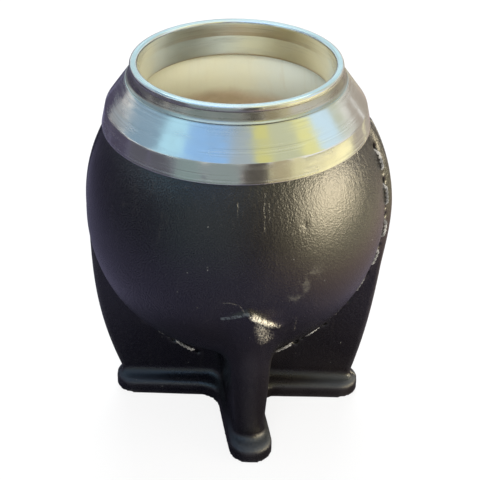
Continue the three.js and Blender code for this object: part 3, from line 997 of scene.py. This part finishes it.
def twisted_stitch(tree, length, thread):
    """One stitch along X: two plies of thread, twisted together, whose ends sink into the leather."""
    steps = 26
    sides = 9
    row = length.node("GeometryNodeMeshLine", inputs={"Count": steps})
    share = length.node("GeometryNodeInputIndex") * (2 / (steps - 1)) - 1
    sunk = thread * 0.85 - abs(share) ** 6.0 * thread * 6
    spot = length.combined(share * length * 0.5, 0.0, sunk)
    bent = length.node("GeometryNodeSetPosition", inputs={"Geometry": row, "Position": spot})
    path = length.node("GeometryNodeMeshToCurve", inputs={0: bent})
    twisted = length.node("GeometryNodeSetCurveTilt", inputs={"Curve": path, "Tilt": share * 9})
    round_ply = {"Resolution": sides, "Radius": thread * 0.6}
    ring = length.node("GeometryNodeCurvePrimitiveCircle", inputs=round_ply)
    plies = length.node("GeometryNodeJoinGeometry")
    for way in (-0.45, 0.45):
        aside = length.combined(thread * way)
        ply = length.node("GeometryNodeTransform", inputs={"Geometry": ring, "Translation": aside})
        tree.links.new(ply.socket, plies.socket.node.inputs[0])
    sweep = {"Curve": twisted, "Profile Curve": plies, "Fill Caps": True}
    return length.node("GeometryNodeCurveToMesh", inputs=sweep)


def stitching(material):
    """A tree that sews a line: long stitches in front, and short ones between them behind."""
    maker = Maker("stitching", Stitches="NodeSocketInt", Front="NodeSocketFloat", Back="NodeSocketFloat",
                  Thread="NodeSocketFloat", Seed="NodeSocketInt")
    start = maker.start
    front = maker.size("Front")
    stitches = maker.size("Stitches")
    stitch = twisted_stitch(maker.tree, front, maker.size("Thread"))
    index = start.node("GeometryNodeInputIndex")
    seam = start.node("GeometryNodeMeshToCurve", inputs={0: start})
    even = start.node("GeometryNodeResampleCurve", inputs={"Curve": seam, "Count": 2 * stitches + 1})
    tangent = start.node("GeometryNodeInputTangent")
    flow = start.node("GeometryNodeCaptureAttribute")
    flow.socket.node.capture_items.new("VECTOR", "flow")
    maker.tree.links.new(even.socket, flow.socket.node.inputs[0])
    maker.tree.links.new(tangent.socket, flow.socket.node.inputs[1])
    direction = Wire(flow.socket.node.outputs[1])
    dots = start.node("GeometryNodeCurveToPoints", {"mode": "EVALUATED"}, {0: flow})
    seen = index % 2.0
    turned = start.combined(1.0, seen * 2 - 1, 1.0)
    lift = start.node("GeometryNodeInputNamedAttribute", {"data_type": "FLOAT_VECTOR"}, {"Name": "lift"})
    where = start.node("GeometryNodeInputPosition")
    face, along, place = [wire.vector("MULTIPLY", wire, turned) for wire in (lift, direction, where)]
    moved = start.node("GeometryNodeSetPosition", inputs={"Geometry": dots, "Position": place})
    axes = {"primary_axis": "Z", "secondary_axis": "X"}
    aim = start.node("FunctionNodeAxesToRotation", axes, {0: face, 1: along})
    draw = index + maker.size("Seed")
    chance = start.node("ShaderNodeTexWhiteNoise", {"noise_dimensions": "1D"}, {"W": draw})
    length = seen + (1 - seen) * maker.size("Back") / front
    scale = start.combined(length * (0.95 + 0.08 * chance), 1.0, 1.0)
    ends = index.math("COMPARE", index, stitches, stitches - 0.5)
    sewn = start.node("GeometryNodeInstanceOnPoints", inputs={
        "Points": moved, "Selection": ends, "Instance": stitch, "Rotation": aim, "Scale": scale})
    maker.end(sewn, material)
    return maker


def sew(name, side, maker, node):
    """The stitches of one seam."""
    line = seam_line(side)
    points, facing = seam_surface(line)
    edges = [(i, i + 1) for i in range(len(points) - 1)]
    sizes = {"Stitches": seam_count(line), "Front": FRONT_STITCH, "Back": STITCH_PITCH - FRONT_STITCH}
    mesh = maker.make(points.tolist(), edges, lift=facing, Thread=THREAD_RADIUS, Seed=7, **sizes)
    return placed(name, mesh, "waxed_thread", node)


# Making of the pieces

turned_metal = turning(nickel_silver())
lip_rim = turn("lip_rim", rim_outline(), turned_metal, "nickel_silver", "ferrule_rim")
turn("collar_skirt", skirt_outline(), turned_metal, "nickel_silver", "ferrule_skirt")
turn("mouth_sleeve", sleeve_outline(), turned_metal, "nickel_silver", "ferrule_sleeve")
turned_gourd = turning(dried_gourd())
turn("gourd_bowl", gourd_outline(), turned_gourd, "gourd_shell", "gourd_shell", GOURD_UNEVENNESS)
leather = black_leather()
leather_halves = [
    leather_cover("front_leather", -1, leather, "front_cover"),
    leather_cover("back_leather", 1, leather, "back_cover"),
]
sewing = stitching(waxed_thread())
sew("left_stitches", -1, sewing, "left_seam_thread")
sew("right_stitches", 1, sewing, "right_seam_thread")

inner_finishes = {
    "ferrule_bedding": set_glue(),
    "sole": sole_leather(),
    "base_board": plywood(),
}
inner_finishes["keel_core"] = inner_finishes["base_board"]
for node, material in inner_finishes.items():
    carried = frame["nodes"][node].data.materials
    carried.clear()
    carried.append(material)


# Studio

CENTRE = Vector((0, 0, BELLY_LEVEL))


def direction(azimuth, elevation):
    """A unit vector away from the cup: azimuth from the front towards the right, in degrees."""
    a, e = math.radians(azimuth), math.radians(elevation)
    return Vector((math.sin(a) * math.cos(e), -math.cos(a) * math.cos(e), math.sin(e)))


def facing(place, target=CENTRE):
    """The placing of something that looks along its -Z axis from place to target."""
    return Matrix.Translation(place) @ (place - target).to_track_quat("Z", "Y").to_matrix().to_4x4()


def soft_light(name, azimuth, elevation, distance, width, height, colour, glow, only=()):
    """A soft box. Its glow is the brightness of its face, where 1 is white. It may light only some pieces."""
    lamp = bpy.data.lights.new(name, "AREA")
    lamp.shape = "RECTANGLE"
    lamp.size = width
    lamp.size_y = height
    lamp.color = colour
    lamp.energy = glow * math.pi * width * height
    made = in_scene(name, lamp)
    made.matrix_world = facing(CENTRE + direction(azimuth, elevation) * distance)
    if only:
        group = bpy.data.collections.new(name)
        for piece in only:
            group.objects.link(piece)
        made.light_linking.receiver_collection = group
    return made


def flat_sheet(name, width, height, material, placing):
    """A flat sheet of the studio, which isn't part of the cup."""
    corners = [(x * width / 2, y * height / 2, 0) for x, y in ((-1, -1), (1, -1), (1, 1), (-1, 1))]
    mesh = bpy.data.meshes.new(name)
    mesh.from_pydata(corners, [], [(0, 1, 2, 3)])
    mesh.materials.append(material)
    made = in_scene(name, mesh)
    made.matrix_world = placing
    return made


def hide_but_for_gloss(made):
    """Leaves something to be seen by shiny surfaces alone."""
    made.visible_camera = False
    made.visible_diffuse = False
    made.visible_shadow = False


def card(name, azimuth, elevation, distance, width, height, colour):
    """A coloured card beside the cup that glows, though it is no lamp, and that only its shiny surfaces see:
    it paints a coloured reflection in them.
    """
    made = Finish(name)
    made.surface(made.place.node("ShaderNodeEmission", inputs={"Color": colour}))
    placing = facing(CENTRE + direction(azimuth, elevation) * distance)
    hide_but_for_gloss(flat_sheet(name, width, height, made.material, placing))


def card_ring(name, low, high, sectors, distance=0.5):
    """Glowing cards side by side round the cup, between two elevations, which paint reflections in its shiny
    surfaces. Each sector is two azimuths and a colour.
    """
    widest = 30
    height = 2 * distance * math.tan(math.radians((high - low) / 2))
    for start, end, colour in sectors:
        count = math.ceil((end - start) / widest)
        step = (end - start) / count
        width = 2 * distance * math.tan(math.radians(step / 2)) * math.cos(math.radians(low))
        for i in range(count):
            azimuth = start + (i + 0.5) * step
            card(f"{name}_{round(azimuth)}", azimuth, (low + high) / 2, distance, width, height, colour)


def background_rays(path):
    """1 for the rays that see the white background: from the camera, and off metal or through glass."""
    outputs = path.socket.node.outputs
    seen = Wire(outputs["Is Camera Ray"]) + Wire(outputs["Is Glossy Ray"])
    return (seen + Wire(outputs["Is Transmission Ray"])).smooth(0, 1)


def floor():
    """A pale floor that looks white, and keeps the cup's shadow in the share that isn't plain white."""
    size = 4.0
    whiteness = 0.82
    made = Finish("floor", Roughness=0.9, Specular_IOR_Level=0.1, Base_Color=rgb(0.85, 0.85, 0.85))
    share = background_rays(made.place.node("ShaderNodeLightPath")) * whiteness
    white = made.place.node("ShaderNodeEmission", inputs={"Color": rgb(1, 1, 1), "Strength": 1.0})
    lit = Wire(made.shader.outputs[0])
    made.surface(made.place.node("ShaderNodeMixShader", inputs={0: share, 1: lit, 2: white}))
    flat_sheet("floor", size, size, made.material, Matrix.Identity(4))


def ground_card():
    """A dark sheet laid on the floor that only the cup's shiny surfaces see, paler to the right: it paints a
    darker ground into their reflections, with a painted shadow close to the cup.
    """
    size = 3.8
    level = Matrix.Translation((0, 0, 0.1 * MM))
    made = Finish("ground_card", Roughness=0.9, Specular_IOR_Level=0.1)
    across = made.place.part(0)
    radius = (across ** 2.0 + made.place.part(1) ** 2.0) ** 0.5
    ground = across.smooth(0.04, 0.14).blend(rgb(0.125, 0.115, 0.185), rgb(0.38, 0.28, 0.245))
    ground = across.smooth(0.14, 0.2).blend(ground, rgb(0.85, 0.80, 0.50))
    # A painted shadow: the sheet is darkest close to the cup
    made.vary("Base Color", radius.smooth(0.048, 0.07).blend(rgb(0.045, 0.042, 0.065), ground))
    hide_but_for_gloss(flat_sheet("ground_card", size, size, made.material, level))


def world(ambient):
    """A white surround for the camera and for shiny surfaces, and a soft even light for the rest."""
    made = bpy.data.worlds.new("studio")
    made.use_nodes = True
    bpy.context.scene.world = made
    tree = made.node_tree
    seen = background_rays(Wire(tree.nodes.new("ShaderNodeLightPath").outputs[0]))
    tree.links.new((seen * (1 - ambient) + ambient).socket, tree.nodes["Background"].inputs["Strength"])
    tree.nodes["Background"].inputs["Color"].default_value = rgb(1, 1, 1)


def camera():
    """The photograph's view: a long lens from above, with the cup a little left of and above the middle."""
    focal = 90
    sensor = 36
    distance = 348.53 * MM
    azimuth = 1.23
    elevation = 32.53
    roll = math.radians(0.64)
    shift_right = 1.418 * MM
    shift_down = 10.479 * MM
    back = direction(azimuth, elevation)
    right = direction(azimuth + 90, 0)
    up = back.cross(right)
    aim = CENTRE + shift_right * right - shift_down * up
    lens = bpy.data.cameras.new("camera")
    lens.lens = focal
    lens.sensor_width = sensor
    made = in_scene("camera", lens)
    turned = Matrix((right, up, back)).transposed().to_4x4() @ Matrix.Rotation(roll, 4, "Z")
    made.matrix_world = Matrix.Translation(aim + back * distance) @ turned
    bpy.context.scene.camera = made


camera()
floor()
ground_card()
world(0.3)

# Lamps: azimuth and elevation in degrees, distance, width, height, colour and glow
soft_light("gleam", 73, 6, 0.62, 0.56, 0.26, (1.0, 0.86, 0.58), 12, only=leather_halves)
soft_light("zenith", 0, 88, 0.4, 0.9, 0.9, (0.76, 0.95, 1.0), 0.95, only=[lip_rim])
soft_light("cool_side", -75, 30, 0.7, 0.5, 0.4, (0.62, 0.78, 1.0), 0.8)
fills = [
    soft_light("warm_side", 75, 20, 0.62, 0.46, 0.3, (1.0, 0.90, 0.72), 3),
    soft_light("front_fill", 0, 39, 0.75, 0.5, 0.5, (1.0, 0.98, 0.96), 5.8),
    soft_light("back_fill", 180, 42, 0.75, 0.5, 0.5, (0.94, 0.98, 1.0), 7.5),
    soft_light("top_fill", 0, 84, 0.7, 0.6, 0.6, (0.92, 0.97, 1.0), 1.4),
]
for lamp in fills:
    lamp.visible_glossy = False

# Glowing cards, placed like the lamps, that paint the reflections of the room that the metal mirrors
card("overhead_left", -90, 74, 0.5, 0.7, 0.32, rgb(0.15, 0.25, 0.40))
card("overhead_right", 90, 74, 0.5, 0.7, 0.32, rgb(0.10, 0.105, 0.105))
sky = (
    (-180, -118, rgb(0.60, 0.86, 0.98)),
    (-118, -70, rgb(0.24, 0.37, 0.50)),
    (-70, -46, rgb(0.50, 0.85, 1.06)),
    (-46, -6, rgb(0.32, 0.58, 1.00)),
    (-6, 20, rgb(0.42, 0.50, 0.57)),
    (20, 33, rgb(0.74, 0.72, 0.28)),
    (33, 62, rgb(0.62, 0.65, 0.46)),
    (62, 78, rgb(0.90, 0.88, 0.40)),
    (78, 100, rgb(0.70, 0.92, 1.10)),
    (100, 130, rgb(0.62, 0.66, 0.54)),
    (130, 180, rgb(0.60, 0.86, 0.98)),
)
card_ring("sky", 28, 58, sky)
card_ring("low_sky", 17, 28, [sector for sector in sky if sector[1] <= -46 or sector[0] >= 62])
card_ring("front", -26, 28, (
    (-46, -22, rgb(0.25, 0.33, 0.34)),
    (-22, 6, rgb(0.28, 0.34, 0.35)),
    (6, 27, rgb(0.10, 0.09, 0.08)),
    (27, 44, rgb(0.48, 0.42, 0.27)),
    (44, 54, rgb(0.82, 0.77, 0.47)),
), distance=0.24)
card_ring("side", -26, 17, (
    (-180, -90, rgb(0.080, 0.072, 0.120)),
    (-90, -46, rgb(0.11, 0.11, 0.14)),
    (104, 180, rgb(0.45, 0.40, 0.35)),
), distance=0.24)
card_ring("right", -26, -8, (
    (54, 78, rgb(0.80, 0.76, 0.50)),
    (78, 104, rgb(0.60, 0.57, 0.48)),
), distance=0.24)

bpy.context.scene.view_settings.view_transform = "Standard"
